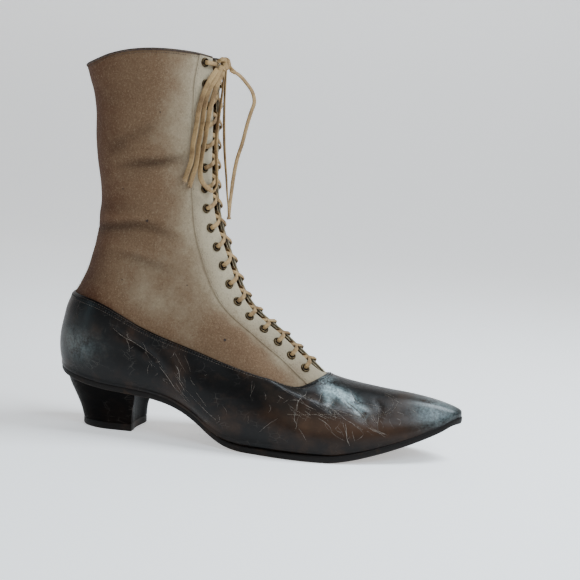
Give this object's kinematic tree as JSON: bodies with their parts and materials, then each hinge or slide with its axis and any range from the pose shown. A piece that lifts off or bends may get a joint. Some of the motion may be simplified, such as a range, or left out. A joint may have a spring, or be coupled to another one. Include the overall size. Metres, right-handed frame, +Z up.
{
  "type": "lady's laced boot",
  "caption": "Tall cloth-top boot with leather vamp, crossed lacing with a bow, pointed toe and low curved heel. Right foot.",
  "frame": {"origin": "middle of the heel's face on the floor", "axes": "+X from the heel to the toe, +Y to the wearer's left, the inner side of this right boot, +Z up"},
  "size_m": [0.2642, 0.0747, 0.2411],
  "materials": {
    "cloth": "felted wool cloth, matt, worn",
    "black_leather": "old polished leather, crazed",
    "sole_leather": "black edge dressing, worn",
    "insole_leather": "plain undyed leather",
    "lace_braid": "flat cotton braid, matt",
    "eyelet_metal": "tarnished"
  },
  "bodies": {
    "root": {"upper": "cloth", "vamp": "black_leather", "tongue": "cloth", "insole": "insole_leather", "outsole": "sole_leather", "heel": "black_leather", "top_piece": "sole_leather", "lacing": "lace_braid", "bow_knot": "lace_braid", "bow_loop_outer": "lace_braid", "bow_loop_inner": "lace_braid", "bow_end_outer": "lace_braid", "bow_end_under": "lace_braid", "eyelet_outer_01": "eyelet_metal", "eyelet_outer_02": "eyelet_metal", "eyelet_outer_03": "eyelet_metal", "eyelet_outer_04": "eyelet_metal", "eyelet_outer_05": "eyelet_metal", "eyelet_outer_06": "eyelet_metal", "eyelet_outer_07": "eyelet_metal", "eyelet_outer_08": "eyelet_metal", "eyelet_outer_09": "eyelet_metal", "eyelet_outer_10": "eyelet_metal", "eyelet_outer_11": "eyelet_metal", "eyelet_outer_12": "eyelet_metal", "eyelet_outer_13": "eyelet_metal", "eyelet_outer_14": "eyelet_metal", "eyelet_outer_15": "eyelet_metal", "eyelet_outer_16": "eyelet_metal", "eyelet_outer_17": "eyelet_metal", "eyelet_outer_18": "eyelet_metal", "eyelet_inner_01": "eyelet_metal", "eyelet_inner_02": "eyelet_metal", "eyelet_inner_03": "eyelet_metal", "eyelet_inner_04": "eyelet_metal", "eyelet_inner_05": "eyelet_metal", "eyelet_inner_06": "eyelet_metal", "eyelet_inner_07": "eyelet_metal", "eyelet_inner_08": "eyelet_metal", "eyelet_inner_09": "eyelet_metal", "eyelet_inner_10": "eyelet_metal", "eyelet_inner_11": "eyelet_metal", "eyelet_inner_12": "eyelet_metal", "eyelet_inner_13": "eyelet_metal", "eyelet_inner_14": "eyelet_metal", "eyelet_inner_15": "eyelet_metal", "eyelet_inner_16": "eyelet_metal", "eyelet_inner_17": "eyelet_metal", "eyelet_inner_18": "eyelet_metal"}
  },
  "joints": []
}
